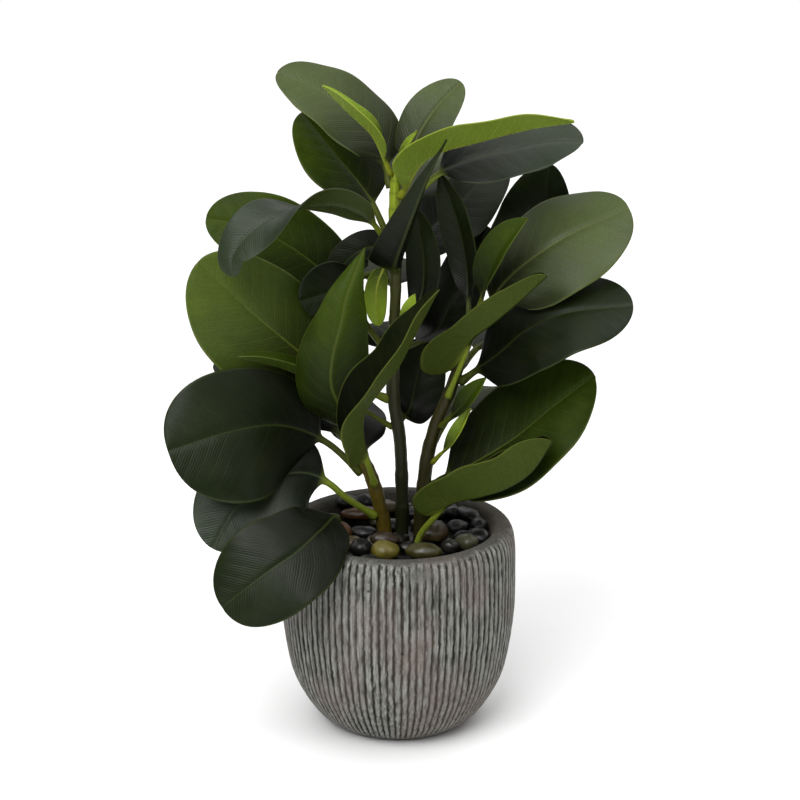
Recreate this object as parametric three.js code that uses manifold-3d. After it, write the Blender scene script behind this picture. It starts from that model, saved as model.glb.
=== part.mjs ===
// A leafy peperomia on three stems, planted in a ribbed cement pot. Millimetres, +Z up.
// The origin is the middle of the pot's flat foot, and the plant's front is towards -Y.

import * as THREE from 'three';
import { mergeVertices } from 'three/addons/utils/BufferGeometryUtils.js';
import Module from 'manifold-3d';

const wasm = await Module();
wasm.setup();

// ---- driving dimensions ----

const GAP = 0.3;                  // clearance between pieces that touch

const POT_HEIGHT = 106;
const RIM_RADIUS = 59;            // outside of the rim
const BELLY_RADIUS = 60.5;
const FOOT_RADIUS = 33;
const MOUTH_RADIUS = 48.5;        // inside of the rim
const CAVITY_FLOOR = 12;          // height of the inside floor
const CAVITY_RADIUS = 47;         // inside radius just under the rim
const CAVITY_FOOT = 28;           // inside radius at the floor
const POT_SEGMENTS = 48;
const FILL_SEGMENTS = 24;

const FILL_TOP = 86;              // top of the plug that holds the stems
const BED_TOP = 91;               // top of the bed that the pebbles lie in
const PEBBLE_RADIUS = 8;          // half a pebble's length
const PEBBLE_WIDTH = 0.82;        // its width and height as parts of its length
const PEBBLE_HEIGHT = 0.5;
const PEBBLE_SPREAD = 0.12;       // how much its size varies
const PEBBLE_RINGS = [[0, 1], [15, 5], [27, 8], [38, 12]];   // radius of each ring, and how many lie in it
const ROOT_DEPTH = 74;            // height at which the planted stalks end in the plug

const STALK_SIDES = 10;
const STEM_STEPS = 12;
const PETIOLE_STEPS = 2;
const ROOTED_STEPS = 4;             // steps of a petiole that is planted in the plug
const BLADE_STEPS = 8;
const TIP_CROWDING = 1.35;        // above 1, the steps of a blade get shorter towards its tip
const NARROWEST = 0.004;          // keeps a blade's first ring from closing to a line
const BLADE_END = 0.985;          // the last ring of a blade, as a part of its length
const BLADE_FLAT = 0.12;          // from here on a blade is flat, as a part of its length
const PETIOLE_ARC = 72;           // degrees from the top of a round petiole to where its upper half ends
const MIDRIB_THICKNESS = 1.3;     // blade thickness at its midrib
const MARGIN_THICKNESS = 0.7;     // and at its margins

// ---- colours ----

const STEM_GREEN = 0x66703a;
const CEMENT = 0xa9a59e;
const PEBBLE = 0x9a8766;
const PLUG = 0x4a4038;
const LEAF_TONES = {
  mid: 0x5f7442,
  light: 0x7b8c56,
  young: 0x93a548,
  pale: 0x8e9c7c,
  slate: 0x6d7674,
  dark: 0x3f5634,
};

const material = (color, roughness) => new THREE.MeshStandardMaterial({ color, roughness, metalness: 0 });

// ---- the stems: the radii at foot and top, and the points that each passes through ----

const STEMS = {
  main: {
    radii: [3.6, 2.3],
    points: [[2, 8, ROOT_DEPTH], [2, 8, 99], [2, 6, 122], [1, 4, 149], [-2, 3, 171], [-2, 2, 203],
      [-1, 1, 239], [-2, 0, 267], [-1, 0, 290]],
  },
  left: {
    radii: [4, 3],
    points: [[-7, 6, ROOT_DEPTH], [-7, 6, 100], [-10, 3, 117], [-14, 0, 132], [-20, -4, 147]],
  },
  right: {
    radii: [4.2, 2.4],
    points: [[11, 6, ROOT_DEPTH], [12, 6, 105], [15, 3, 141], [20, 2, 161], [26, 1, 176], [34, 0, 200],
      [40, -2, 219]],
  },
};

// ---- the leaves ----
// stem, height: the stem that carries the leaf, and how high the petiole leaves it; without a height the leaf
// grows out of the stem's end. A leaf planted in the pot has a root instead.
// via, tip: the points on the midrib. blade: where along it the petiole turns to blade, 0 to 1.
// width: full blade width. widest: where along the blade it is widest. point: 0.5 round tip to 1 pointed tip.
// face, tipFace: where the upper side looks, at the base and at the tip.
// fold: degrees that the left and right halves rise from flat, at the midrib. cup: degrees that a half curls
// upwards from midrib to margin. skew: how much wider the right half is than the mean of both, negative where
// the left one is. lobe: how far the base lobes reach back past the petiole. tone: the leaf's colour.

const LEAVES = [
  // the crown of the main stem
  { name: 'leaf_top_left', stem: 'main', height: 282, via: [[-9, 9, 300], [-24, 15, 316], [-44, 21, 328]],
    tip: [-60, 24, 333], blade: 0.12, width: 37, widest: 0.44, face: [0.3, -0.7, 0.6], fold: [8, 8],
    cup: -12, tone: 'pale' },
  { name: 'leaf_under_top_left', stem: 'main', height: 254, via: [[-15, 14, 274], [-31, 22, 293]],
    tip: [-48, 30, 313], blade: 0.26, width: 42, face: [0.4, -0.7, 0.6], fold: [8, 8], cup: -10,
    tone: 'mid' },
  { name: 'leaf_top_young', stem: 'main', height: 289, via: [[-12, -8, 309], [-24, -8, 321]],
    tip: [-36, -5, 333], blade: 0.12, width: 15, point: 0.9, face: [0.5, -0.1, 0.9], fold: [52, 52],
    tone: 'young' },
  { name: 'leaf_top_right', stem: 'main', height: 286, via: [[9, 5, 304], [18, 9, 318]], tip: [31, 13, 331],
    blade: 0.12, width: 27, face: [-0.3, -0.8, 0.5], fold: [8, 8], cup: -8, tone: 'pale' },
  { name: 'leaf_bud', stem: 'main', via: [[3, -4, 301]], tip: [9, -7, 311], blade: 0.1, width: 5,
    point: 0.9, face: [-0.6, -0.7, 0.3], fold: [30, 30], tone: 'young' },
  { name: 'leaf_top_long', stem: 'main', height: 278, via: [[14, -9, 298], [40, -15, 308], [63, -20, 315]],
    tip: [84, -24, 319], blade: 0.04, width: 25, widest: 0.36, point: 0.6, skew: 0.25, face: [-0.2, 0.1, 1],
    fold: [45, 45], tone: 'young' },
  { name: 'leaf_top_broad', stem: 'main', height: 270, via: [[24, 7, 289], [55, 5, 299], [76, 0, 304]],
    tip: [90, -4, 305], blade: 0.26, width: 37, face: [0, -0.6, 0.8], fold: [6, 6], cup: -14,
    tone: 'slate' },
  { name: 'leaf_twisted', stem: 'main', height: 252, via: [[-14, -8, 267], [-28, -12, 275], [-45, -15, 275],
    [-68, -20, 266], [-80, -24, 252]], tip: [-79, -27, 243], blade: 0.14, width: 30, point: 0.5,
    face: [0.3, 0.8, 0.6], tipFace: [-0.5, -0.8, 0.2], fold: [12, 12], cup: -10, tone: 'slate' },
  { name: 'leaf_folded_right', stem: 'main', height: 240, via: [[-2, -10, 244], [2, -18, 258],
    [8, -24, 276], [14, -27, 292]], tip: [23, -30, 311], blade: 0.05, width: 20, widest: 0.12, point: 1.3,
    skew: -0.3, face: [-0.1, -1, 0.25], fold: [4, -70], lobe: 6, tone: 'dark' },
  { name: 'leaf_behind_stem', stem: 'main', height: 208, via: [[11, 9, 222], [13, 13, 240], [11, 15, 254]],
    tip: [9, 16, 266], blade: 0.15, width: 18, face: [-0.2, -0.9, 0.3], fold: [12, 12], tone: 'dark' },
  { name: 'leaf_middle_young', stem: 'main', height: 245, via: [[-10, 4, 232], [-11, 5, 222]],
    tip: [-10, 6, 209], blade: 0.12, width: 12, face: [-0.2, -1, 0.1], fold: [10, 10], tone: 'young' },
  { name: 'leaf_middle_little', stem: 'main', height: 206, via: [[4, -5, 216]], tip: [8, -7, 229],
    blade: 0.2, width: 8, point: 0.9, face: [-0.3, -0.9, 0.3], fold: [20, 20], tone: 'young' },

  // the right side
  { name: 'leaf_right_upright', stem: 'right', height: 212, via: [[34, 10, 241], [29, 14, 264]],
    tip: [21, 16, 285], blade: 0.12, width: 20, point: 0.7, face: [-0.5, -0.7, 0.3], fold: [25, 25],
    tone: 'dark' },
  { name: 'leaf_right_tall', stem: 'right', height: 208, via: [[46, 14, 216], [58, 22, 228], [69, 26, 246],
    [74, 29, 263]], tip: [76, 34, 286], blade: 0.2, width: 40, skew: -0.25, face: [-0.3, -0.8, 0.4],
    fold: [6, 6], cup: -10, tone: 'dark' },
  { name: 'leaf_right_big', stem: 'right', height: 214, via: [[53, 0, 233], [79, 0, 254]],
    tip: [114, 4, 270], blade: 0.12, width: 56, point: 0.45, skew: 0.04, face: [-0.2, -0.75, 0.65],
    fold: [-6, 4], cup: -12, tone: 'pale' },
  { name: 'leaf_right_wide', stem: 'right', height: 184,
    via: [[51, -10, 200], [64, -14, 213], [82, -18, 222]], tip: [115, -22, 227], blade: 0.1, width: 54,
    widest: 0.5, face: [-0.2, -0.6, 0.8], fold: [4, 4], cup: -12, tone: 'dark' },
  { name: 'leaf_right_low', stem: 'right', height: 126, via: [[40, -5, 141], [59, -9, 155], [74, -14, 170]],
    tip: [97, -20, 191], blade: 0.08, width: 58, widest: 0.47, skew: -0.04, face: [-0.4, -0.7, 0.6],
    fold: [4, 4], cup: -10, tone: 'dark' },
  { name: 'leaf_right_cupped', root: [10, -8], via: [[17, -13, 112], [26, -20, 124], [41, -28, 131],
    [53, -33, 137], [65, -37, 147]], tip: [75, -40, 164], blade: 0.4, width: 40, widest: 0.55,
    face: [-0.3, 0.28, 1], fold: [62, 62], lobe: 24, tone: 'light' },
  { name: 'leaf_right_small', stem: 'right', height: 140, via: [[27, -6, 152]], tip: [36, -10, 171],
    blade: 0.2, width: 9, point: 0.9, face: [-0.5, -0.7, 0.5], fold: [40, 40], tone: 'young' },
  { name: 'leaf_right_little', stem: 'right', height: 160, via: [[32, -10, 172]], tip: [43, -17, 189],
    blade: 0.2, width: 12, point: 0.9, face: [-0.5, -0.7, 0.5], fold: [25, 25] },
  { name: 'leaf_right_pointed', stem: 'right', via: [[44, -5, 236], [51, -8, 252]], tip: [63, -12, 269],
    blade: 0.12, width: 22, point: 0.8, face: [-0.6, -0.6, 0.5], fold: [35, 35] },
  { name: 'leaf_front_cupped', stem: 'right', height: 176, via: [[33, -13, 199], [36, -20, 210],
    [46, -26, 220], [59, -31, 233]], tip: [71, -35, 246], blade: 0.36, width: 25, widest: 0.42,
    face: [-0.4, 0.3, 0.9], fold: [62, 62], lobe: 46, tone: 'light' },

  // the left side and the middle
  { name: 'leaf_front_folded', stem: 'left', height: 130, via: [[-17, -33, 159], [-17, -40, 177],
    [0, -45, 204], [9, -44, 222]], tip: [19, -41, 241], blade: 0.24, width: 35, widest: 0.4, point: 0.7,
    face: [-0.8, -0.3, 0.5], fold: [45, 45], lobe: 10, tone: 'light' },
  { name: 'leaf_front_upright', stem: 'left', via: [[-28, -16, 171], [-33, -23, 187], [-32, -27, 203],
    [-28, -28, 219], [-25, -26, 233]], tip: [-16, -20, 256], blade: 0.12, width: 44, widest: 0.32,
    point: 1.1, skew: 0.1, face: [-0.1, -0.98, 0.12], fold: [-6, -32], cup: -30 },
  { name: 'leaf_left_olive', stem: 'main', height: 194, via: [[-15, 20, 204], [-27, 30, 220],
    [-54, 32, 243], [-77, 30, 255]], tip: [-97, 28, 259], blade: 0.32, width: 44, face: [0.1, -0.85, 0.5],
    fold: [4, 4], cup: -8 },
  { name: 'leaf_left_light', stem: 'main', height: 172, via: [[-37, 6, 184], [-50, 2, 197], [-76, -4, 222]],
    tip: [-98, -8, 246], blade: 0.26, width: 60, widest: 0.46, skew: -0.08, face: [0.2, -0.95, 0.3],
    fold: [4, 4], cup: -12, tone: 'light' },
  { name: 'leaf_left_dark', stem: 'main', height: 232, via: [[-12, 16, 234], [-28, 9, 228]],
    tip: [-49, 1, 223], blade: 0.4, width: 30, face: [-0.1, -0.95, 0.2], fold: [6, 6], tone: 'dark' },
  { name: 'leaf_left_slate', stem: 'main', height: 240, via: [[-13, 21, 246], [-24, 24, 240]],
    tip: [-35, 23, 225], blade: 0.16, width: 20, face: [-0.2, -0.8, 0.5], fold: [6, 6], tone: 'dark' },
  { name: 'leaf_left_narrow', stem: 'main', height: 158,
    via: [[-20, 1, 168], [-37, -2, 179], [-55, -11, 192]], tip: [-79, -22, 202], blade: 0.34, width: 16,
    point: 0.9, face: [0.3, -0.1, 1], fold: [50, 50], tone: 'young' },
  { name: 'leaf_left_behind', stem: 'left', height: 138, via: [[-50, 18, 171], [-73, 24, 178]],
    tip: [-95, 28, 182], blade: 0.2, width: 28, face: [0, -0.6, 0.8], fold: [4, 4], tone: 'dark' },
  { name: 'leaf_left_big', stem: 'left', height: 136,
    via: [[-36, -5, 151], [-58, -23, 166], [-82, -39, 168]], tip: [-112, -48, 161], blade: 0.24, width: 67,
    widest: 0.58, point: 0.42, skew: -0.08, face: [0.1, -0.92, 0.38], fold: [4, 4], cup: -14,
    tone: 'dark' },
  { name: 'leaf_left_lower', stem: 'left', height: 111, via: [[-27, -8, 123], [-34, -12, 131],
    [-44, -16, 138], [-54, -21, 140], [-67, -29, 137], [-81, -36, 126]], tip: [-92, -42, 108], blade: 0.33,
    width: 52, widest: 0.46, face: [0, -0.75, 0.65], fold: [6, 6], cup: -10, tone: 'slate' },
  { name: 'leaf_left_drooping', root: [-30, -16], via: [[-31, -27, 119], [-38, -45, 119], [-50, -58, 112],
    [-62, -63, 105], [-73, -65, 97]], tip: [-86, -65, 86], blade: 0.38, width: 50, widest: 0.6, point: 0.42,
    face: [0.1, -0.8, 0.6], fold: [4, 4], cup: -10, tone: 'dark' },

  // the back, seen only from behind
  { name: 'leaf_back_top', stem: 'main', height: 268, via: [[8, 26, 280], [12, 46, 289]],
    tip: [12, 68, 291], blade: 0.16, width: 36, face: [0.1, -0.4, 0.9], fold: [6, 6], cup: -12,
    tone: 'pale' },
  { name: 'leaf_back_upper_right', stem: 'main', height: 252,
    via: [[2, 23, 244], [15, 40, 250], [33, 55, 263]], tip: [54, 66, 283], blade: 0.16, width: 44,
    face: [-0.3, -0.7, 0.6], fold: [6, 6], cup: -12, tone: 'dark' },
  { name: 'leaf_back_upper_left', stem: 'main', height: 226, via: [[-4, 30, 228], [-12, 54, 230]],
    tip: [-30, 78, 224], blade: 0.16, width: 35, face: [0, 0.2, 1], fold: [8, 8], cup: -12 },
  { name: 'leaf_back_middle', stem: 'main', height: 196, via: [[20, 30, 200], [28, 38, 214], [37, 45, 230]],
    tip: [46, 50, 250], blade: 0.18, width: 34, face: [-0.4, -0.6, 0.7], fold: [8, 8], cup: -10,
    tone: 'dark' },
  { name: 'leaf_back_left', stem: 'main', height: 188, via: [[-4, 32, 196], [-16, 54, 196]],
    tip: [-32, 76, 182], blade: 0.18, width: 42, face: [-0.2, 0.5, 0.9], fold: [8, 8], cup: -12 },
  { name: 'leaf_back_centre', stem: 'main', height: 158, via: [[6, 24, 160], [10, 30, 176]],
    tip: [14, 36, 194], blade: 0.16, width: 30, face: [0, -1, 0.3], fold: [6, 6], cup: -12, tone: 'dark' },
  { name: 'leaf_back_right', stem: 'right', height: 190, via: [[46, 22, 198], [66, 40, 200]],
    tip: [92, 60, 196], blade: 0.16, width: 44, face: [0.1, 0.2, 1], fold: [6, 6], cup: -12 },
  { name: 'leaf_back_low_left', stem: 'left', height: 124, via: [[-24, 34, 152], [-38, 56, 156]],
    tip: [-56, 80, 148], blade: 0.2, width: 46, face: [-0.1, 0.4, 0.9], fold: [6, 6], cup: -12,
    tone: 'dark' },
  { name: 'leaf_back_low_right', stem: 'right', height: 148, via: [[32, 28, 162], [46, 46, 164]],
    tip: [66, 70, 154], blade: 0.16, width: 42, face: [0.1, 0.4, 0.9], fold: [6, 6], cup: -12,
    tone: 'light' },
];

// ---- shapes ----

const vector = ([x, y, z]) => new THREE.Vector3(x, y, z);
const mix = THREE.MathUtils.lerp;
const smooth = THREE.MathUtils.smoothstep;

// A closed skin over rings of points, each ring having as many points, with a fan to a point at either end.
function skin(rings, start, end) {
  const sides = rings[0].length;
  const positions = rings.flat().concat([start, end]).flatMap((p) => p.toArray());
  const startIndex = rings.length * sides;
  const endIndex = startIndex + 1;
  const last = (rings.length - 1) * sides;
  const index = [];
  for (let j = 0; j < sides; j++) {
    const next = (j + 1) % sides;
    index.push(startIndex, next, j);
    index.push(endIndex, last + j, last + next);
    for (let i = 0; i + 1 < rings.length; i++) {
      const a = i * sides;
      const b = a + sides;
      index.push(a + j, a + next, b + next);
      index.push(a + j, b + next, b + j);
    }
  }
  const geometry = new THREE.BufferGeometry();
  geometry.setAttribute('position', new THREE.Float32BufferAttribute(positions, 3));
  geometry.setIndex(index);
  geometry.computeVertexNormals();
  return geometry;
}

// The directions along, up and to the side of a curve at a place where it should face a given way.
function frameAt(curve, t, face) {
  const along = curve.getTangentAt(t);
  const up = face.clone().addScaledVector(along, -face.dot(along)).normalize();
  const side = new THREE.Vector3().crossVectors(along, up);
  return { at: curve.getPointAt(t), along, up, side };
}

// A round stalk along a curve with a ring at each stop from 0 to 1, its radius going from the first to the
// last of two. With a clearance it is that much thicker, and longer at its foot.
function stalk(curve, [startRadius, endRadius], stops, clearance = 0) {
  const rings = stops.map((t, i) => {
    const frame = frameAt(curve, t, new THREE.Vector3(0, -1, 0));
    const radius = mix(startRadius, endRadius, t) + clearance;
    if (i === 0) frame.at.addScaledVector(frame.along, -clearance);
    return Array.from({ length: STALK_SIDES }, (_, j) => {
      const angle = (2 * Math.PI * j) / STALK_SIDES;
      return frame.at.clone()
        .addScaledVector(frame.side, -radius * Math.cos(angle))
        .addScaledVector(frame.up, radius * Math.sin(angle));
    });
  });
  const centre = (ring) => ring.reduce((sum, p) => sum.add(p), new THREE.Vector3()).divideScalar(STALK_SIDES);
  return skin(rings, centre(rings[0]), centre(rings.at(-1)));
}

// Stops from 0 to an end in equal steps.
const evenStops = (steps, end = 1) => Array.from({ length: steps + 1 }, (_, i) => (end * i) / steps);

const stemCurve = (stem) => new THREE.CatmullRomCurve3(stem.points.map(vector), false, 'centripetal');

// Where a stem is at a height, which way it runs and how thick it is there. Without a height, at its end.
function stemAt(stem, height = Infinity) {
  const curve = stemCurve(stem);
  let low = 0;
  let high = 1;
  for (let i = 0; i < 20; i++) {
    const middle = (low + high) / 2;
    if (curve.getPointAt(middle).z < height) low = middle;
    else high = middle;
  }
  return { at: curve.getPointAt(low), along: curve.getTangentAt(low), radius: mix(...stem.radii, low) };
}

const petioleRadius = (leaf) => Math.min(1.7, 0.8 + leaf.width / 50);
const petioleSteps = (leaf) => (leaf.root ? ROOTED_STEPS : PETIOLE_STEPS);

// The curve of a leaf's petiole and midrib. It starts just clear of its stem, or down in the plug.
function leafCurve(leaf) {
  const points = [...leaf.via, leaf.tip].map(vector);
  if (leaf.root) {
    const [x, y] = leaf.root;
    points.unshift(new THREE.Vector3(x, y, ROOT_DEPTH), new THREE.Vector3(x, y, BED_TOP + PEBBLE_RADIUS));
  } else {
    const { at, along, radius } = stemAt(STEMS[leaf.stem], leaf.height);
    const away = points[0].clone().sub(at).normalize();
    const lean = away.dot(along);
    const outwards = away.clone().addScaledVector(along, -lean).normalize();
    const start = leaf.height
      ? at.addScaledVector(outwards, radius + GAP + petioleRadius(leaf) * Math.abs(lean))
      : at.addScaledVector(along, GAP + petioleRadius(leaf) * Math.sqrt(1 - lean * lean));
    points.unshift(start);
  }
  return new THREE.CatmullRomCurve3(points, false, 'centripetal');
}

// A leaf: a round petiole that flattens into a blade, folded at its midrib.
function leafShape(leaf) {
  const { blade, width, widest = 0.5, point = 0.5, skew = 0, fold, cup = 0, lobe = 0 } = leaf;
  const curve = leafCurve(leaf);
  const face = vector(leaf.face).normalize();
  const tipFace = vector(leaf.tipFace ?? leaf.face).normalize();
  const radius = petioleRadius(leaf);
  const baseShape = (point * widest) / (1 - widest);
  const peak = widest ** baseShape * (1 - widest) ** point;
  const steps = petioleSteps(leaf);
  const rings = [];
  for (let i = 0; i <= steps + BLADE_STEPS; i++) {
    const petiole = i < steps;
    const bladeStep = petiole ? 0 : (i - steps) / BLADE_STEPS;
    const along = Math.min(BLADE_END, 1 - (1 - bladeStep) ** TIP_CROWDING);
    const t = petiole ? (blade * i) / steps : mix(blade, 1, along);
    const half = (0.5 * width * Math.max(NARROWEST, along) ** baseShape * (1 - along) ** point) / peak;
    const flat = petiole ? 0 : smooth(along, -0.05, BLADE_FLAT);
    const frame = frameAt(curve, t, face.clone().lerp(tipFace, smooth(t, blade, 1)));
    const ring = [];
    for (let j = 0; j < STALK_SIDES; j++) {
      const under = j >= STALK_SIDES / 2;
      const u = under ? (STALK_SIDES - 1 - j) / 2 - 1 : j / 2 - 1;
      const angle = THREE.MathUtils.degToRad(u * PETIOLE_ARC);
      const sideFold = THREE.MathUtils.degToRad(u < 0 ? fold[0] : fold[1]) * flat;
      const curl = THREE.MathUtils.degToRad(cup) * flat * Math.abs(u);
      const reach = mix(radius * Math.sin(angle), half * u * (1 + skew * Math.sign(u)), flat);
      const thickness = mix(MIDRIB_THICKNESS, MARGIN_THICKNESS, Math.abs(u)) / 2;
      const lift = mix(radius * Math.cos(angle), thickness, flat) * (under ? -1 : 1);
      const slope = sideFold + curl / 2;
      const lean = (sideFold + curl) * Math.sign(u);
      const back = lobe * flat * u * u * (1 - along) ** 2;
      ring.push(frame.at.clone()
        .addScaledVector(frame.side, reach * Math.cos(slope) - lift * Math.sin(lean))
        .addScaledVector(frame.up, Math.abs(reach) * Math.sin(slope) + lift * Math.cos(lean))
        .addScaledVector(frame.along, -back));
    }
    rings.push(ring);
  }
  return skin(rings, curve.getPointAt(0), curve.getPointAt(1));
}

// ---- solids: joins and cuts ----

function toSolid(geometry) {
  const bare = geometry.clone();
  bare.deleteAttribute('normal');
  bare.deleteAttribute('uv');
  const merged = mergeVertices(bare, 1e-4);
  const corners = merged.index.array;
  const triangles = [];
  for (let i = 0; i < corners.length; i += 3) {
    const [a, b, c] = corners.slice(i, i + 3);
    if (a !== b && b !== c && c !== a) triangles.push(a, b, c);
  }
  return new wasm.Manifold(new wasm.Mesh({
    numProp: 3,
    vertProperties: new Float32Array(merged.attributes.position.array),
    triVerts: new Uint32Array(triangles),
  }));
}

function toGeometry(solid) {
  const { vertProperties, triVerts } = solid.getMesh();
  const geometry = new THREE.BufferGeometry();
  geometry.setAttribute('position', new THREE.Float32BufferAttribute(vertProperties, 3));
  geometry.setIndex(new THREE.Uint32BufferAttribute(triVerts, 1));
  return geometry;
}

// A solid of revolution about the Z axis, from a profile of radius and height with both ends on the axis.
function turned(profile, segments) {
  const points = profile.map(([radius, height]) => new THREE.Vector2(radius, height));
  return new THREE.LatheGeometry(points, segments).rotateX(Math.PI / 2);
}

// ---- the pot and what fills it ----

// The wall of the pot's cavity as radius and height, from its floor upwards, drawn in by a clearance.
const cavityWall = (clearance) => [
  [CAVITY_FOOT - clearance, CAVITY_FLOOR + clearance],
  [40 - clearance, CAVITY_FLOOR + 12],
  [CAVITY_RADIUS - clearance, CAVITY_FLOOR + 38],
];

function potShape() {
  const outside = [
    [FOOT_RADIUS, 0],
    [FOOT_RADIUS + 5, 2.5],
    [44, 8],
    [50, 17],
    [55, 28],
    [58, 42],
    [BELLY_RADIUS, 62],
    [BELLY_RADIUS, 84],
    [RIM_RADIUS + 1, 97],
    [RIM_RADIUS, 102],
    [RIM_RADIUS - 3, POT_HEIGHT - 0.8],
    [RIM_RADIUS - 5.5, POT_HEIGHT],
    [MOUTH_RADIUS + 2, POT_HEIGHT - 0.5],
    [MOUTH_RADIUS, POT_HEIGHT - 2.5],
    [CAVITY_RADIUS, POT_HEIGHT - 9],
  ];
  return turned([[0, 0], ...outside, ...cavityWall(0).reverse(), [0, CAVITY_FLOOR]], POT_SEGMENTS);
}

// The room that every planted stalk needs, to be cut out of what surrounds it.
function plantedStalks() {
  const stems = Object.values(STEMS).map((stem) => (
    stalk(stemCurve(stem), stem.radii, evenStops(STEM_STEPS), GAP)));
  const petioles = LEAVES.filter(({ root }) => root).map((leaf) => {
    const radius = petioleRadius(leaf);
    return stalk(leafCurve(leaf), [radius, radius], evenStops(ROOTED_STEPS, leaf.blade), GAP);
  });
  return [...stems, ...petioles].map(toSolid);
}

const cutFrom = (solid, cuts) => cuts.reduce((rest, cut) => rest.subtract(cut), solid);

// The plug that fills the cavity and grips the stalks.
function plugShape(cuts) {
  const wall = cavityWall(GAP);
  const edge = CAVITY_RADIUS - GAP;
  const plug = turned([[0, CAVITY_FLOOR + GAP], ...wall, [edge, FILL_TOP], [0, FILL_TOP]], FILL_SEGMENTS);
  return toGeometry(cutFrom(toSolid(plug), cuts));
}

// Rounded pebbles lying in a thin bed, in rings round the middle. Their sizes and turns vary by a fixed rule.
function pebbleShape(cuts) {
  const edge = CAVITY_RADIUS - GAP;
  const foot = FILL_TOP + GAP;
  let bed = toSolid(turned([[0, foot], [edge, foot], [edge, BED_TOP], [0, BED_TOP]], FILL_SEGMENTS));
  for (const [radius, count] of PEBBLE_RINGS) {
    for (let i = 0; i < count; i++) {
      const turn = (2 * Math.PI * (i + radius / 20)) / count;
      const size = PEBBLE_RADIUS * (1 + PEBBLE_SPREAD * Math.sin(5 * i + radius));
      const height = BED_TOP + 1 + 0.8 * Math.sin(3 * i);
      const pebble = new THREE.IcosahedronGeometry(1, 1);
      pebble.scale(size, size * PEBBLE_WIDTH, size * PEBBLE_HEIGHT);
      pebble.rotateZ(turn + 1.3 * Math.sin(7 * i + radius));
      pebble.translate(radius * Math.cos(turn), radius * Math.sin(turn), height);
      bed = bed.add(toSolid(pebble));
    }
  }
  return toGeometry(cutFrom(bed, cuts));
}

// ---- the assembly ----

const plant = new THREE.Group();

function addPiece(name, geometry, colour, roughness) {
  const mesh = new THREE.Mesh(geometry, material(colour, roughness));
  mesh.name = name;
  plant.add(mesh);
}

const cuts = plantedStalks();
addPiece('pot', potShape(), CEMENT, 0.9);
addPiece('planting_plug', plugShape(cuts), PLUG, 0.95);
addPiece('pebble_layer', pebbleShape(cuts), PEBBLE, 0.5);
for (const [name, stem] of Object.entries(STEMS)) {
  addPiece(`stem_${name}`, stalk(stemCurve(stem), stem.radii, evenStops(STEM_STEPS)), STEM_GREEN, 0.55);
}
for (const leaf of LEAVES) addPiece(leaf.name, leafShape(leaf), LEAF_TONES[leaf.tone ?? 'mid'], 0.5);

export default plant;
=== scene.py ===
"""A leafy artificial peperomia on three stems in a ribbed cement pot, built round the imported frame.
The tables are in millimetres and every mesh is in metres. +Z is up and the plant's front is towards -Y."""
import math

import bpy
import numpy as np
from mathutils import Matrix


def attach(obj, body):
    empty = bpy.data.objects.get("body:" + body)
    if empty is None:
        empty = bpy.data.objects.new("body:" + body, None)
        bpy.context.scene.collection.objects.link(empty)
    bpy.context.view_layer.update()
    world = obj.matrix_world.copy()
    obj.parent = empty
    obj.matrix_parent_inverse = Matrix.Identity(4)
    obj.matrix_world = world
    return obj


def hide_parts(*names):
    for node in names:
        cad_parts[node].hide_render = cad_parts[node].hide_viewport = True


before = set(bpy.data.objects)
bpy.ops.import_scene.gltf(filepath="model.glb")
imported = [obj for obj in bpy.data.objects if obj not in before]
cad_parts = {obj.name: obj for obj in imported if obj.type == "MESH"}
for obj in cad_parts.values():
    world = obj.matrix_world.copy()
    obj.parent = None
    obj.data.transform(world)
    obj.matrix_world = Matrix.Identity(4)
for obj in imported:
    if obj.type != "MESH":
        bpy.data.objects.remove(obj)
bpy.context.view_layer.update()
scene = bpy.context.scene

MM = 0.001

# ---- the camera, at the photograph's viewing angle ----

camera = bpy.data.objects.new("camera", bpy.data.cameras.new("camera"))
scene.collection.objects.link(camera)
scene.camera = camera
camera.data.sensor_width = 36
camera.data.lens = 107.1
camera.location = (0.001, -1.1445, 0.5328)
camera.rotation_euler = (math.radians(72.5), 0, 0)

# ---- where the stems stand ----

GAP = 0.3                    # clearance between a petiole and its stem in the frame
ROOT_DEPTH = 74              # where the planted stalks end
BED_TOP = 91                 # top of the bed that the pebbles lie in
PEBBLE_RADIUS = 8

STEMS = {
    "main": dict(radii=(3.6, 2.3), points=((2, 8, ROOT_DEPTH), (2, 8, 99), (2, 6, 122), (1, 4, 149),
                 (-2, 3, 171), (-2, 2, 203), (-1, 1, 239), (-2, 0, 267), (-1, 0, 290))),
    "left": dict(radii=(4, 3), points=((-7, 6, ROOT_DEPTH), (-7, 6, 100), (-10, 3, 117), (-14, 0, 132),
                 (-20, -4, 147))),
    "right": dict(radii=(4.2, 2.4), points=((11, 6, ROOT_DEPTH), (12, 6, 105), (15, 3, 141), (20, 2, 161),
                  (26, 1, 176), (34, 0, 200), (40, -2, 219))),
}

# ---- the leaves ----
# stem, height: the stem that carries the leaf, the main one if not given, and how high the petiole leaves it;
# without a height the leaf grows out of the stem's end. A leaf planted in the pot has a root instead.
# path: the points on the midrib, the last one at the tip. blade: where along it, from 0 to 1, the petiole
# turns to blade. width: full blade width. widest: where along the blade it is widest, halfway if not given.
# point: from 0.5, a round tip, which it is if it isn't given, to 1 and more, a pointed one.
# face, tip_face: where the upper side looks, at the base and at the tip.
# fold: degrees that the halves, or the left and the right half, rise from flat at the midrib. cup: degrees
# that a half curls upwards from midrib to margin. skew: how much wider the right half is than both's mean.
# lobe: how far the base lobes reach back past the petiole. tone: the leaf's finish, "mid" if it isn't given.

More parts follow.
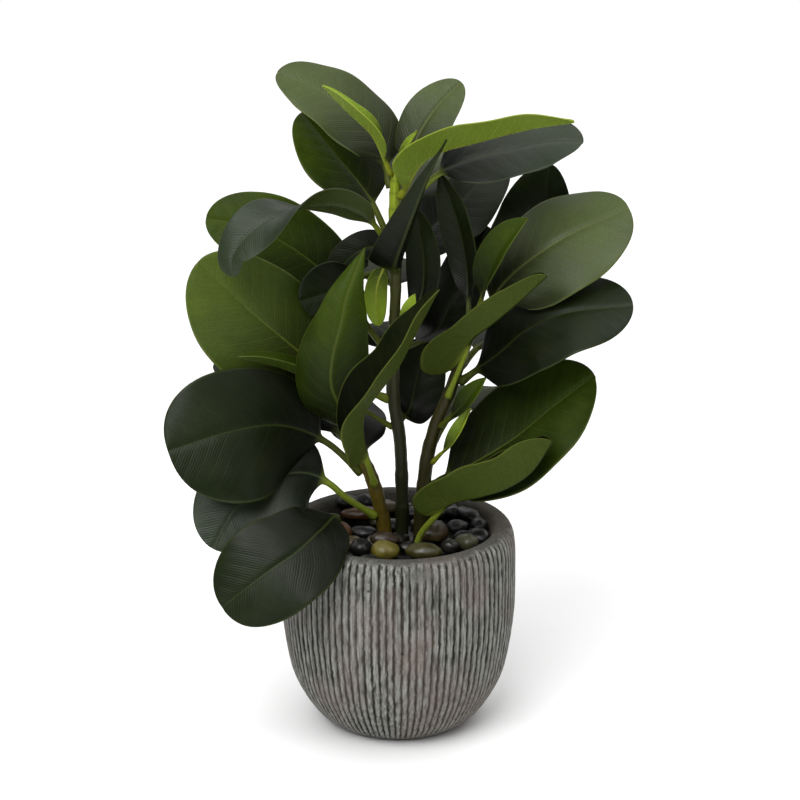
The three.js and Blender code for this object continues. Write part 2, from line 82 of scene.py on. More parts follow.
LEAVES = {
    # the crown of the main stem
    "top_left": dict(height=282, path=((-9, 9, 300), (-24, 15, 316), (-44, 21, 328), (-60, 24, 333)),
        blade=0.12, width=37, widest=0.44, face=(0.3, -0.7, 0.6), fold=8, cup=-12, tone="pale"),
    "under_top_left": dict(height=254, path=((-15, 14, 274), (-31, 22, 293), (-48, 30, 313)), blade=0.26,
        width=42, face=(0.4, -0.7, 0.6), fold=8, cup=-10),
    "top_young": dict(height=289, path=((-12, -8, 309), (-24, -8, 321), (-36, -5, 333)), blade=0.12, width=15,
        point=0.9, face=(0.5, -0.1, 0.9), fold=52, tone="young"),
    "top_right": dict(height=286, path=((9, 5, 304), (18, 9, 318), (31, 13, 331)), blade=0.12, width=27,
        face=(-0.3, -0.8, 0.5), fold=8, cup=-8, tone="pale"),
    "bud": dict(path=((3, -4, 301), (9, -7, 311)), blade=0.1, width=5, point=0.9, face=(-0.6, -0.7, 0.3),
        fold=30, tone="young"),
    "top_long": dict(height=278, path=((14, -9, 298), (40, -15, 308), (63, -20, 315), (84, -24, 319)),
        blade=0.04, width=25, widest=0.36, point=0.6, skew=0.25, face=(-0.2, 0.1, 1), fold=45, tone="young"),
    "top_broad": dict(height=270, path=((24, 7, 289), (55, 5, 299), (76, 0, 304), (90, -4, 305)), blade=0.26,
        width=37, face=(0, -0.6, 0.8), fold=6, cup=-14, tone="slate"),
    "twisted": dict(height=252, path=((-14, -8, 267), (-28, -12, 275), (-45, -15, 275), (-68, -20, 266),
        (-80, -24, 252), (-79, -27, 243)), blade=0.14, width=30, face=(0.3, 0.8, 0.6),
        tip_face=(-0.5, -0.8, 0.2), fold=12, cup=-10, tone="slate"),
    "folded_right": dict(height=240, path=((-2, -10, 244), (2, -18, 258), (8, -24, 276), (14, -27, 292),
        (23, -30, 311)), blade=0.05, width=20, widest=0.12, point=1.3, skew=-0.3, face=(-0.1, -1, 0.25),
        fold=(4, -70), lobe=6, tone="dark"),
    "behind_stem": dict(height=208, path=((11, 9, 222), (13, 13, 240), (11, 15, 254), (9, 16, 266)),
        blade=0.15, width=18, face=(-0.2, -0.9, 0.3), fold=12, tone="dark"),
    "middle_young": dict(height=245, path=((-10, 4, 232), (-11, 5, 222), (-10, 6, 209)), blade=0.12, width=12,
        face=(-0.2, -1, 0.1), fold=10, tone="young"),
    "middle_little": dict(height=206, path=((4, -5, 216), (8, -7, 229)), blade=0.2, width=8, point=0.9,
        face=(-0.3, -0.9, 0.3), fold=20, tone="young"),
    # the right side
    "right_upright": dict(stem="right", height=212, path=((34, 10, 241), (29, 14, 264), (21, 16, 285)),
        blade=0.12, width=20, point=0.7, face=(-0.5, -0.7, 0.3), fold=25, tone="dark"),
    "right_tall": dict(stem="right", height=208, path=((46, 14, 216), (58, 22, 228), (69, 26, 246),
        (74, 29, 263), (76, 34, 286)), blade=0.2, width=40, skew=-0.25, face=(-0.3, -0.8, 0.4), fold=6,
        cup=-10, tone="dark"),
    "right_big": dict(stem="right", height=214, path=((53, 0, 233), (79, 0, 254), (114, 4, 270)), blade=0.12,
        width=56, point=0.45, skew=0.04, face=(-0.2, -0.75, 0.65), fold=(-6, 4), cup=-12, tone="pale"),
    "right_wide": dict(stem="right", height=184, path=((51, -10, 200), (64, -14, 213), (82, -18, 222),
        (115, -22, 227)), blade=0.1, width=54, face=(-0.2, -0.6, 0.8), fold=4, cup=-12, tone="dark"),
    "right_low": dict(stem="right", height=126, path=((40, -5, 141), (59, -9, 155), (74, -14, 170),
        (97, -20, 191)), blade=0.08, width=58, widest=0.47, skew=-0.04, face=(-0.4, -0.7, 0.6), fold=4,
        cup=-10, tone="olive"),
    "right_cupped": dict(root=(10, -8), path=((17, -13, 112), (26, -20, 124), (41, -28, 131), (53, -33, 137),
        (65, -37, 147), (75, -40, 164)), blade=0.4, width=40, widest=0.55, face=(-0.3, 0.28, 1), fold=62,
        lobe=24, tone="cupped"),
    "right_small": dict(stem="right", height=140, path=((27, -6, 152), (36, -10, 171)), blade=0.2, width=9,
        point=0.9, face=(-0.5, -0.7, 0.5), fold=40, tone="young"),
    "right_little": dict(stem="right", height=160, path=((32, -10, 172), (43, -17, 189)), blade=0.2, width=12,
        point=0.9, face=(-0.5, -0.7, 0.5), fold=25),
    "right_pointed": dict(stem="right", path=((44, -5, 236), (51, -8, 252), (63, -12, 269)), blade=0.12,
        width=22, point=0.8, face=(-0.6, -0.6, 0.5), fold=35),
    "front_cupped": dict(stem="right", height=176, path=((33, -13, 199), (36, -20, 210), (46, -26, 220),
        (59, -31, 233), (71, -35, 246)), blade=0.36, width=25, widest=0.42, face=(-0.4, 0.3, 0.9), fold=62,
        lobe=46, tone="cupped"),
    # the left side and the middle
    "front_folded": dict(stem="left", height=130, path=((-17, -33, 159), (-17, -40, 177), (0, -45, 204),
        (9, -44, 222), (19, -41, 241)), blade=0.24, width=35, widest=0.4, point=0.7, face=(-0.8, -0.3, 0.5),
        fold=45, lobe=10, tone="cupped"),
    "front_upright": dict(stem="left", path=((-28, -16, 171), (-33, -23, 187), (-32, -27, 203),
        (-28, -28, 219), (-25, -26, 233), (-16, -20, 256)), blade=0.12, width=44, widest=0.32, point=1.1,
        skew=0.1, face=(-0.1, -0.98, 0.12), fold=(-6, -32), cup=-30),
    "left_olive": dict(height=194, path=((-15, 20, 204), (-27, 30, 220), (-54, 32, 243), (-77, 30, 255),
        (-97, 28, 259)), blade=0.32, width=44, face=(0.1, -0.85, 0.5), fold=4, cup=-8),
    "left_light": dict(height=172, path=((-37, 6, 184), (-50, 2, 197), (-76, -4, 222), (-98, -8, 246)),
        blade=0.26, width=60, widest=0.46, skew=-0.08, face=(0.2, -0.95, 0.3), fold=4, cup=-12, tone="light"),
    "left_dark": dict(height=232, path=((-12, 16, 234), (-28, 9, 228), (-49, 1, 223)), blade=0.4, width=30,
        face=(-0.1, -0.95, 0.2), fold=6, tone="dark"),
    "left_slate": dict(height=240, path=((-13, 21, 246), (-24, 24, 240), (-35, 23, 225)), blade=0.16,
        width=20, face=(-0.2, -0.8, 0.5), fold=6, tone="dark"),
    "left_narrow": dict(height=158, path=((-20, 1, 168), (-37, -2, 179), (-55, -11, 192), (-79, -22, 202)),
        blade=0.34, width=16, point=0.9, face=(0.3, -0.1, 1), fold=50),
    "left_behind": dict(stem="left", height=138, path=((-50, 18, 171), (-73, 24, 178), (-95, 28, 182)),
        blade=0.2, width=28, face=(0, -0.6, 0.8), fold=4, tone="dark"),
    "left_big": dict(stem="left", height=136, path=((-36, -5, 151), (-58, -23, 166), (-82, -39, 168),
        (-112, -48, 161)), blade=0.24, width=67, widest=0.58, point=0.42, skew=-0.08, face=(0.1, -0.92, 0.38),
        fold=4, cup=-14, tone="dark"),
    "left_lower": dict(stem="left", height=111, path=((-27, -8, 123), (-34, -12, 131), (-44, -16, 138),
        (-54, -21, 140), (-67, -29, 137), (-81, -36, 126), (-92, -42, 108)), blade=0.33, width=52,
        widest=0.46, face=(0, -0.75, 0.65), fold=6, cup=-10, tone="slate"),
    "left_drooping": dict(root=(-30, -16), path=((-31, -27, 119), (-38, -45, 119), (-50, -58, 112),
        (-62, -63, 105), (-73, -65, 97), (-86, -65, 86)), blade=0.38, width=50, widest=0.6, point=0.42,
        face=(0.1, -0.8, 0.6), fold=4, cup=-10, tone="dark"),
    # the back, seen only from behind
    "back_top": dict(height=268, path=((8, 26, 280), (12, 46, 289), (12, 68, 291)), blade=0.16, width=36,
        face=(0.1, -0.4, 0.9), fold=6, cup=-12, tone="pale"),
    "back_upper_right": dict(height=252, path=((2, 23, 244), (15, 40, 250), (33, 55, 263), (54, 66, 283)),
        blade=0.16, width=44, face=(-0.3, -0.7, 0.6), fold=6, cup=-12, tone="dark"),
    "back_upper_left": dict(height=226, path=((-4, 30, 228), (-12, 54, 230), (-30, 78, 224)), blade=0.16,
        width=35, face=(0, 0.2, 1), fold=8, cup=-12),
    "back_middle": dict(height=196, path=((20, 30, 200), (28, 38, 214), (37, 45, 230), (46, 50, 250)),
        blade=0.18, width=34, face=(-0.4, -0.6, 0.7), fold=8, cup=-10, tone="dark"),
    "back_left": dict(height=188, path=((-4, 32, 196), (-16, 54, 196), (-32, 76, 182)), blade=0.18, width=42,
        face=(-0.2, 0.5, 0.9), fold=8, cup=-12),
    "back_centre": dict(height=158, path=((6, 24, 160), (10, 30, 176), (14, 36, 194)), blade=0.16, width=30,
        face=(0, -1, 0.3), fold=6, cup=-12, tone="dark"),
    "back_right": dict(stem="right", height=190, path=((46, 22, 198), (66, 40, 200), (92, 60, 196)),
        blade=0.16, width=44, face=(0.1, 0.2, 1), fold=6, cup=-12),
    "back_low_left": dict(stem="left", height=124, path=((-24, 34, 152), (-38, 56, 156), (-56, 80, 148)),
        blade=0.2, width=46, face=(-0.1, 0.4, 0.9), fold=6, cup=-12, tone="dark"),
    "back_low_right": dict(stem="right", height=148, path=((32, 28, 162), (46, 46, 164), (66, 70, 154)),
        blade=0.16, width=42, face=(0.1, 0.4, 0.9), fold=6, cup=-12, tone="light"),
}

# ---- nodes, meshes and curves ----


def linear(hex_colour):
    """An sRGB hex colour as linear red, green and blue, with full alpha."""
    parts = [int(hex_colour[i:i + 2], 16) / 255 for i in (1, 3, 5)]
    return (*(c / 12.92 if c <= 0.04045 else ((c + 0.055) / 1.055) ** 2.4 for c in parts), 1.0)


def add(tree, kind, inputs=(), out=0, stops=(), **settings):
    """Adds a node with its settings, links and values, and gives one of its output sockets. kind is the
    node's type without its family, and then its operation if it has one. Inputs go in order, or by name or
    number, and a hex colour goes in as a linear one."""
    kind, _, operation = kind.partition(" ")
    family = next(f for f in ("ShaderNode", "GeometryNode", "") if hasattr(bpy.types, f + kind))
    node = tree.nodes.new(family + kind)
    if operation:
        node.operation = operation
    for name, value in settings.items():
        setattr(node, name, value)
    for key, value in inputs.items() if isinstance(inputs, dict) else enumerate(inputs):
        if isinstance(value, bpy.types.NodeSocket):
            tree.links.new(value, node.inputs[key])
        elif isinstance(value, str) and value.startswith("#"):
            node.inputs[key].default_value = linear(value)
        else:
            node.inputs[key].default_value = value
    for i, (position, colour) in enumerate(stops):
        elements = node.color_ramp.elements
        element = elements[i] if i < 2 else elements.new(position)
        element.position = position
        element.color = linear(colour)
    return node.outputs[out] if node.outputs else None


def blank_material(name):
    material = bpy.data.materials.new(name)
    material.use_nodes = True
    material.node_tree.nodes.clear()
    return material, material.node_tree


def noise(tree, place, scale, detail, roughness=0.5, distortion=0.0):
    """A noise, with as many patches in one unit of place as its scale says."""
    return add(tree, "TexNoise", {"Vector": place, "Scale": scale, "Detail": detail, "Roughness": roughness,
                                  "Distortion": distortion})


def remap(tree, value, *limits, eased=False):
    """Turns what lies between the first two limits into what lies between the last two."""
    return add(tree, "MapRange", (value, *limits), interpolation_type="SMOOTHSTEP" if eased else "LINEAR")


def painted(tree, colour, cover, paint):
    """A colour with paint over it, as far as cover says, from 0 to 1."""
    return add(tree, "Mix", {0: cover, 6: colour, 7: paint}, out=2, data_type="RGBA")


def dappled(tree, colour, spots, darkest, lightest):
    """A colour made darker and lighter by a noise, most of which lies between 0.3 and 0.7."""
    amount = remap(tree, spots, 0.3, 0.7, darkest, lightest)
    return add(tree, "VectorMath SCALE", {0: colour, "Scale": amount})


def surface(tree, relief, strength, depth, inputs):
    """Ends a material with its shader and a fine relief, whose depth is in millimetres."""
    bump = add(tree, "Bump", {"Strength": strength, "Distance": depth * MM, "Height": relief})
    shader = add(tree, "BsdfPrincipled", {**inputs, "Normal": bump})
    add(tree, "OutputMaterial", {"Surface": shader})


def shown(name, mesh):
    """An object at the origin, for a mesh or a light."""
    piece = bpy.data.objects.new(name, mesh)
    scene.collection.objects.link(piece)
    return piece


def put(piece, node):
    """Hands a finished piece over in place of its CAD node."""
    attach(piece, "root")
    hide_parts(node)


def keep(mesh, fields):
    """Keeps values for each point of a mesh as attributes."""
    for label, values in fields.items():
        values = np.asarray(values, np.float32)
        vector = values.ndim == 2
        layer = mesh.attributes.new(label, "FLOAT_VECTOR" if vector else "FLOAT", "POINT")
        layer.data.foreach_set("vector" if vector else "value", values.ravel())


def closed_skin(name, rings, ends, fields, material):
    """A smooth closed mesh over rings of points, in millimetres, with a middle point to close each end."""
    count, sides = rings.shape[:2]
    grid = np.arange(count * sides).reshape(count, sides)
    ahead = np.roll(grid, -1, axis=1)
    faces = np.stack([grid[:-1], ahead[:-1], ahead[1:], grid[1:]], -1).reshape(-1, 4).tolist()
    first, last = count * sides, count * sides + 1
    faces += [(first, b, a) for a, b in zip(grid[0].tolist(), ahead[0].tolist())]
    faces += [(last, a, b) for a, b in zip(grid[-1].tolist(), ahead[-1].tolist())]
    points = np.vstack([rings.reshape(-1, 3), ends]) * MM
    corners = points[np.array([f[:3] for f in faces])]
    volume = np.einsum("ij,ij->", corners[:, 0], np.cross(corners[:, 1], corners[:, 2]))
    if volume < 0:
        faces = [f[::-1] for f in faces]
    mesh = bpy.data.meshes.new(name)
    mesh.from_pydata(points.tolist(), [], faces)
    mesh.shade_smooth()
    keep(mesh, fields)
    mesh.materials.append(material)
    return mesh


def new_tree(name, sockets):
    """A geometry tree with a mesh in and out and named inputs. Gives the tree and its input sockets."""
    tree = bpy.data.node_groups.new(name, "GeometryNodeTree")
    tree.interface.new_socket("Geometry", in_out="INPUT", socket_type="NodeSocketGeometry")
    for label, kind in sockets.items():
        tree.interface.new_socket(label, in_out="INPUT", socket_type="NodeSocket" + kind)
    tree.interface.new_socket("Geometry", in_out="OUTPUT", socket_type="NodeSocketGeometry")
    return tree, tree.nodes.new("NodeGroupInput").outputs


def uneven(tree, given, shape, scale, detail):
    """Moves a skin in and out along its normals by a noise, as far as the tree's unevenness says."""
    bumps = add(tree, "TexNoise", {"Scale": scale, "Detail": detail})
    bumps = add(tree, "Math SUBTRACT", (bumps, 0.5))
    amount = add(tree, "Math MULTIPLY", (bumps, given["Unevenness"]))
    normal = add(tree, "InputNormal")
    offset = add(tree, "VectorMath SCALE", {0: normal, "Scale": amount})
    return add(tree, "SetPosition", {"Geometry": shape, "Offset": offset})


def end_tree(tree, given, shape):
    """Ends a geometry tree: the shape is shaded smooth, made real and given its material."""
    shape = add(tree, "SetShadeSmooth", {"Geometry": shape})
    shape = add(tree, "RealizeInstances", {"Geometry": shape})
    shape = add(tree, "SetMaterial", {"Geometry": shape, "Material": given["Material"]})
    add(tree, "NodeGroupOutput", (shape,))
    return tree


def grown(name, tree, base, values):
    """Runs a geometry tree on a mesh with its inputs set, and gives the result as a plain mesh object."""
    piece = shown(name, base)
    modifier = piece.modifiers.new("shape", "NODES")
    modifier.node_group = tree
    for item in tree.interface.items_tree:
        if item.in_out == "INPUT" and item.name in values:
            modifier[item.identifier] = values[item.name]
    graph = bpy.context.evaluated_depsgraph_get()
    mesh = bpy.data.meshes.new_from_object(piece.evaluated_get(graph), preserve_all_data_layers=True,
                                           depsgraph=graph)
    piece.modifiers.clear()
    piece.data = mesh
    mesh.name = name
    return piece


def spline(points, steps=80):
    """A centripetal Catmull-Rom curve as close points, and how far along it each one lies, in millimetres."""
    p = np.array(points, float)
    p = np.vstack([2 * p[0] - p[1], p, 2 * p[-1] - p[-2]])
    t = np.linspace(0, 1, steps, endpoint=False)[:, None]
    parts = []
    for a, b, c, d in zip(p[:-3], p[1:-2], p[2:-1], p[3:]):
        ab, bc, cd = (np.linalg.norm(y - x) ** 0.5 for x, y in ((a, b), (b, c), (c, d)))
        leave = ((b - a) / ab - (c - a) / (ab + bc) + (c - b) / bc) * bc
        arrive = ((c - b) / bc - (d - b) / (bc + cd) + (d - c) / cd) * bc
        parts.append(b + leave * t + (-3 * b + 3 * c - 2 * leave - arrive) * t ** 2
                     + (2 * b - 2 * c + leave + arrive) * t ** 3)
    line = np.vstack([*parts, p[-2:-1]])
    way = np.concatenate([[0], np.cumsum(np.linalg.norm(np.diff(line, axis=0), axis=1))])
    return line, way


def unit(v):
    return v / np.maximum(np.linalg.norm(v, axis=-1, keepdims=True), 1e-9)


def places(line, way, distances):
    """Points and directions at distances along a curve."""
    slopes = np.gradient(line, way, axis=0)
    at = np.stack([np.interp(distances, way, line[:, k]) for k in range(3)], -1)
    return at, unit(np.stack([np.interp(distances, way, slopes[:, k]) for k in range(3)], -1))


def smooth(x, low, high):
    x = np.clip((x - low) / (high - low), 0, 1)
    return x * x * (3 - 2 * x)


def mix(a, b, t):
    return a + (b - a) * t


# ---- leaf shapes ----

PETIOLE_RINGS = 14
BLADE_RINGS = 64
BASE_CROWDING, TIP_CROWDING = 1.15, 1.5    # how much closer the rings lie at the blade's ends
LAST_RING = 0.9985           # where the last ring lies, 1 being the tip
HALF_COLUMNS = (0, .03, .07, .13, .2, .28, .37, .46, .55, .64, .72, .8, .87, .92, .955, .98, 1)
SINK = 1.6                   # how deep a petiole's foot sits in its stem
FOOT_FLARE, FOOT_LENGTH = 0.4, 4           # how much the petiole widens at its foot, and over what length
FLATTENS = -0.05, 0.12       # from where to where on the blade the round petiole turns flat
MIDRIB_THICKNESS = 1.3
MARGIN_THICKNESS = 0.7
MARGIN_ROUNDING = 0.06       # the part of a half blade, at its margin, over which it is rounded off
MIDRIB_GROOVE, GROOVE_WIDTH = 0.55, 1.3
FOLD_RADIUS = 1.2            # how softly the blade bends at its midrib
PILLOW = 0.07                # how far the blade swells between side veins
VEIN_SPACING = 8.0           # between side veins, along the midrib
VEIN_SLOPE = 0.75            # how far a side vein climbs for each millimetre outwards
VEIN_BEND = 0.006            # and how much more it climbs farther out
THIN_PETIOLE, THICK_PETIOLE = 0.8, 1.7     # radii, the first one with WIDTH_SHARE of the leaf's width added
WIDTH_SHARE = 1 / 50
WAVE_HEIGHT = 0.9            # of the margin's waves, on a leaf of WAVY_WIDTH or more
WAVE_LENGTHS = 26, 40
WAVY_WIDTH = 40
FIRST_SEED = 100
PATTERN_STEP = 37.0          # sets each leaf's patches and grain apart from the next leaf's


def petiole_radius(leaf):
    return min(THICK_PETIOLE, THIN_PETIOLE + leaf["width"] * WIDTH_SHARE)


def leaf_points(leaf):
    """The points of a leaf's petiole and midrib, from just clear of its stem, or in the plug, to its tip."""
    points = [np.array(p, float) for p in leaf["path"]]
    if "root" in leaf:
        x, y = leaf["root"]
        return [(x, y, ROOT_DEPTH), (x, y, BED_TOP + PEBBLE_RADIUS), *points]
    stem = STEMS[leaf.get("stem", "main")]
    line, way = spline(stem["points"])
    reach = way[-1] if "height" not in leaf else np.interp(leaf["height"], line[:, 2], way)
    (at,), (along,) = places(line, way, [reach])
    radius = mix(*stem["radii"], reach / way[-1])
    away = unit(points[0] - at)
    lean = away @ along
    outwards = unit(away - along * lean)
    if "height" in leaf:
        start = at + outwards * (radius + GAP + petiole_radius(leaf) * abs(lean))
    else:
        start = at + along * (GAP + petiole_radius(leaf) * math.sqrt(1 - lean ** 2))
    return [start, *points]


def leaf_mesh(name, leaf, number, material):
    """A leaf: a round petiole that flattens into a blade, folded at its midrib, swelling between its side
    veins and waving at its margins."""
    line, way = spline(leaf_points(leaf))
    length = way[-1]
    width, blade = leaf["width"], leaf["blade"]
    widest, point, skew = leaf.get("widest", 0.5), leaf.get("point", 0.5), leaf.get("skew", 0)
    cup, lobe = math.radians(leaf.get("cup", 0)), leaf.get("lobe", 0)
    left_fold, right_fold = np.broadcast_to(leaf["fold"], 2)
    radius = petiole_radius(leaf)
    dice = np.random.default_rng(FIRST_SEED + number)

    # along the leaf: part is 0 where the blade starts and 1 at its tip, and t runs over the petiole too
    step = np.linspace(0, 1, BLADE_RINGS)
    blade_part = 1 - (1 - step ** BASE_CROWDING) ** TIP_CROWDING
    blade_part[-1] = LAST_RING
    part = np.concatenate([np.linspace(-blade / (1 - blade), 0, PETIOLE_RINGS, endpoint=False), blade_part])
    t = blade + (1 - blade) * part
    at, along = places(line, way, t * length)
    if "root" not in leaf:
        at = np.vstack([at[:1] - along[:1] * SINK, at])
        along, part, t = (np.concatenate([x[:1], x]) for x in (along, part, t))
    part, t = part[:, None], t[:, None]
    v = np.maximum(part, 0)
    base = point * widest / (1 - widest)
    peak = widest ** base * (1 - widest) ** point
    half = 0.5 * width * np.maximum(0.004, v) ** base * (1 - v) ** point / peak
    flat = smooth(part, *FLATTENS)
    face = unit(np.array(leaf["face"], float))
    tip_face = unit(np.array(leaf.get("tip_face", leaf["face"]), float))
    face = unit(mix(face, tip_face, smooth(t, blade, 1)))
    up = unit(face - along * np.sum(face * along, -1, keepdims=True))
    side = np.cross(along, up)

    # round the leaf: u runs from -1 at the left margin to 1 at the right one, over the top and back below
    half_row = np.array(HALF_COLUMNS)
    upper_row = np.concatenate([-half_row[:0:-1], half_row])
    u = np.concatenate([upper_row, upper_row[-2:0:-1]])[None, :]
    top = np.concatenate([np.ones(len(upper_row)), -np.ones(len(upper_row) - 2)])[None, :]
    edge = np.abs(u)
    foot = radius * (1 + FOOT_FLARE * np.exp(-((t * length) / FOOT_LENGTH) ** 2))
    fold = np.radians(np.where(u < 0, left_fold, right_fold)) * flat
    curl = cup * flat * edge
    reach = mix(foot * np.sin(u * math.pi / 2), half * u * (1 + skew * np.sign(u)), flat)
    across = np.abs(reach)
    up_leaf = part * (1 - blade) * length
    climb = up_leaf - VEIN_SLOPE * across - VEIN_BEND * across ** 2 + np.sign(u) * VEIN_SPACING / 4
    rounding = np.sqrt(1 - np.clip((edge - 1 + MARGIN_ROUNDING) / MARGIN_ROUNDING, 0, 1) ** 2)
    thickness = mix(MIDRIB_THICKNESS, MARGIN_THICKNESS, edge) / 2 * rounding
    lift = mix(foot * np.cos(u * math.pi / 2), thickness, flat) * top
    swell = -PILLOW * np.cos(2 * math.pi * climb / VEIN_SPACING) * smooth(across, 1, 6) * (1 - edge ** 4)
    groove = -MIDRIB_GROOVE * np.exp(-(across / GROOVE_WIDTH) ** 2)
    starts, lengths = dice.uniform(0, 2 * math.pi, 2), dice.uniform(*WAVE_LENGTHS, 2)
    turn = np.where(u < 0, up_leaf / lengths[0] * 2 * math.pi + starts[0],
                    up_leaf / lengths[1] * 2 * math.pi + starts[1])
    wave = WAVE_HEIGHT * min(1, width / WAVY_WIDTH) * edge ** 2.5 * np.sin(turn)
    slope = fold + curl / 2
    lean = (fold + curl) * np.sign(u)
    back = lobe * flat * u ** 2 * (1 - v) ** 2
    rise = (np.sqrt(across ** 2 + FOLD_RADIUS ** 2) - FOLD_RADIUS) * np.sin(slope) + lift * np.cos(lean)
    rise = rise + flat * (swell + groove + wave)
    rings = (at[:, None] + side[:, None] * (reach * np.cos(slope) - lift * np.sin(lean))[..., None]
             + up[:, None] * rise[..., None] - along[:, None] * back[..., None])

    shape = rings.shape[:2]
    ends = np.stack([rings[0].mean(0), line[-1]])
    own = number * PATTERN_STEP
    blade_mm = np.stack([reach, np.broadcast_to(up_leaf, shape), np.full(shape, own)], -1).reshape(-1, 3)
    fields = {
        "blade_mm": np.vstack([blade_mm, blade_mm[0], (0, (1 - blade) * length, own)]),
        "edge": np.concatenate([np.broadcast_to(edge * flat, shape).ravel(), [0, 0]]),
        "part": np.concatenate([np.broadcast_to(part, shape).ravel(), [part[0, 0], 1]]),
        "top": np.concatenate([np.broadcast_to(top * (edge < 1), shape).ravel(), [0, 0]]),
    }
    return closed_skin(name, rings, ends, fields, material)


# ---- leaf finishes ----
# blade, heart: the upper side's main colour and its patches. vein: midrib and side veins. edge: the margin.
# under: the underside. stalk: the petiole. rough, shine: roughness and specular level. veins: how strongly
# the side veins show. slot: a name for the part's material, which nothing here reads.

TONES = {
    "pale": dict(blade="#313a1b", heart="#39441c", vein="#4a5125", edge="#545c2c", under="#303a16",
        stalk="#424b13", rough=0.42, shine=0.24, veins=0.14),
    "light": dict(blade="#324014", heart="#3f4c14", vein="#4c561f", edge="#5c6528", under="#445117",
        stalk="#515a13", rough=0.45, shine=0.16, veins=0.16),
    "cupped": dict(slot="leaf_light", blade="#060c00", heart="#0d1200", vein="#262d0b", edge="#515925",
        under="#353f15", stalk="#6f7c28", rough=0.50, shine=0.05, veins=0.1),
    "young": dict(blade="#5b721e", heart="#6e8221", vein="#828a30", edge="#8d9934", under="#596b1b",
        stalk="#757d1b", rough=0.45, shine=0.18, veins=0.12),
    # slate: a grey green, partly the leaf's own colour and partly painted sheen, the light's reflection on
    # the upper side
    "slate": dict(blade="#1b2316", heart="#212917", vein="#2b331d", edge="#353c25", under="#2c3512",
        stalk="#66741f", rough=0.40, shine=0.26, veins=0.08),
    "dark": dict(blade="#0a1202", heart="#121902", vein="#232b0d", edge="#2e3612", under="#222d0c",
        stalk="#3a4111", rough=0.40, shine=0.18, veins=0.10),
    "mid": dict(blade="#202c03", heart="#2f3f02", vein="#3d4715", edge="#49541b", under="#303e0f",
        stalk="#444b0f", rough=0.44, shine=0.14, veins=0.14),
    "olive": dict(slot="leaf_dark", blade="#182302", heart="#263301", vein="#3d4715", edge="#49541b",
        under="#303e0f", stalk="#444b0f", rough=0.44, shine=0.16, veins=0.14),
}

PATCH_SIZE = 16
GRAIN_SIZE = 1.4             # coarser than the real grain, so that it shows
SIDE_VEIN_HALF = 0.15, 0.9   # how far from its middle a side vein starts to fade, and is gone
FINE_VEIN_HALF = 0.5
FINE_VEIN_SPACING = 1.6      # a little more than the real one, so that the fine veins show
VEIN_WANDER = 2.4            # how far a vein strays
MIDRIB_HALF = 1.0, 0.35      # at the blade's base and at its tip
HEART_REACH = 14             # how far from the midrib the heart colour fades out


